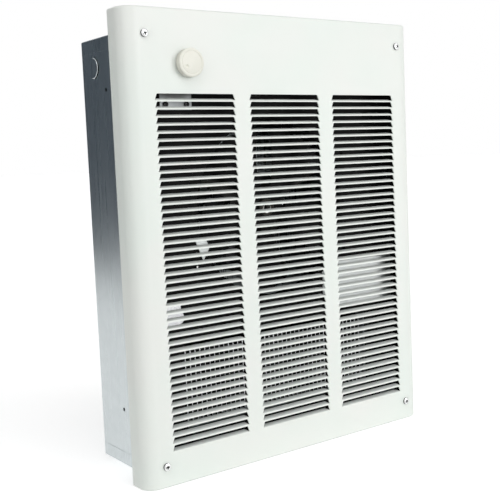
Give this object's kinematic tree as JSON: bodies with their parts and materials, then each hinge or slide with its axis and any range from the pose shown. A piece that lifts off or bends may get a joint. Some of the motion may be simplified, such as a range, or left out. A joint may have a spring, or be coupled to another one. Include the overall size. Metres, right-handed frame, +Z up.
{
  "type": "bathroom wall fan heater",
  "caption": "Recessed electric wall fan heater: louvred sheet cover with a thermostat knob over a galvanised wall box that holds a fan, its motor and finned heating elements.",
  "frame": {"origin": "centre of the wall box's back panel, on its outer face", "axes": "+Y into the wall (out of the back panel), -Y into the room, +Z up, +X to the right as one faces the heater"},
  "size_m": [0.408, 0.1352, 0.505],
  "materials": {
    "galvanised_steel": "bare galvanised sheet with a soft spangle",
    "bright_zinc_sheet": "bright bare zinc-coated sheet",
    "white_enamel": "baked white enamel, semi-gloss",
    "black_enamel": "baked black enamel, satin",
    "zinc_plated_steel": "zinc plated",
    "green_enamel": "green painted steel",
    "motor_laminations": "varnished laminations",
    "coil_tape": "taped winding",
    "cast_zinc": "raw die casting",
    "sintered_bronze": "oil-filled sintered bronze",
    "ground_steel": "ground steel",
    "fan_aluminium": "mill finish",
    "hub_brass": "turned brass",
    "element_steel": "copper-brazed steel, dulled by heat",
    "black_phenolic": "moulded phenolic",
    "cream_plastic": "moulded, satin",
    "copper": "drawn copper",
    "switch_aluminium": "pressed aluminium",
    "white_ceramic": "glazed steatite"
  },
  "bodies": {
    "root": {"back_box": "galvanised_steel", "front_cover": "white_enamel", "cover_screw_upper_left": "zinc_plated_steel", "cover_screw_upper_right": "zinc_plated_steel", "cover_screw_lower_left": "zinc_plated_steel", "cover_screw_lower_right": "zinc_plated_steel", "fan_panel": "black_enamel", "panel_screw_upper_left": "zinc_plated_steel", "panel_screw_upper_right": "zinc_plated_steel", "panel_screw_lower_left": "zinc_plated_steel", "panel_screw_lower_right": "zinc_plated_steel", "motor_bracket": "galvanised_steel", "motor_bracket_screw_upper_right": "zinc_plated_steel", "motor_bracket_screw_upper_left": "zinc_plated_steel", "motor_bracket_screw_lower_left": "zinc_plated_steel", "motor_bracket_screw_lower_right": "zinc_plated_steel", "motor_stack": "motor_laminations", "motor_coil": "coil_tape", "front_bearing_bar": "cast_zinc", "front_bearing": "sintered_bronze", "rear_bearing_bar": "cast_zinc", "rear_bearing": "sintered_bronze", "motor_bolt_left": "zinc_plated_steel", "motor_bolt_right": "zinc_plated_steel", "upper_heating_element": "element_steel", "lower_heating_element": "element_steel", "left_element_plate": "galvanised_steel", "right_element_plate": "galvanised_steel", "element_terminal_1": "white_ceramic", "element_terminal_2": "white_ceramic", "element_terminal_3": "white_ceramic", "element_terminal_4": "white_ceramic", "thermostat_bracket": "galvanised_steel", "thermostat_bracket_screw_left": "zinc_plated_steel", "thermostat_bracket_screw_right": "zinc_plated_steel", "thermostat_body": "black_phenolic", "thermostat_nut": "zinc_plated_steel", "sensing_bulb": "copper", "bulb_clip": "galvanised_steel", "limit_switch": "switch_aluminium", "fan_delay_switch": "switch_aluminium", "wiring_cover": "bright_zinc_sheet", "wiring_cover_screw_left": "zinc_plated_steel", "wiring_cover_screw_right": "zinc_plated_steel", "terminal_block": "black_phenolic", "ground_screw": "green_enamel"},
    "fan": {"fan_wheel": "fan_aluminium", "fan_hub": "hub_brass", "motor_shaft": "ground_steel", "motor_rotor": "motor_laminations"},
    "knob": {"thermostat_knob": "cream_plastic", "thermostat_stem": "hub_brass"}
  },
  "joints": [
    {"name": "fan_spin", "type": "hinge", "parent": "root", "child": "fan", "pos_m": [0, -0.079, 0.041], "axis": [0, 1, 0], "continuous": true},
    {"name": "knob_turn", "type": "hinge", "parent": "root", "child": "knob", "pos_m": [-0.1285, -0.126, 0.2025], "axis": [0, 1, 0], "range_deg": [0, 285]}
  ]
}
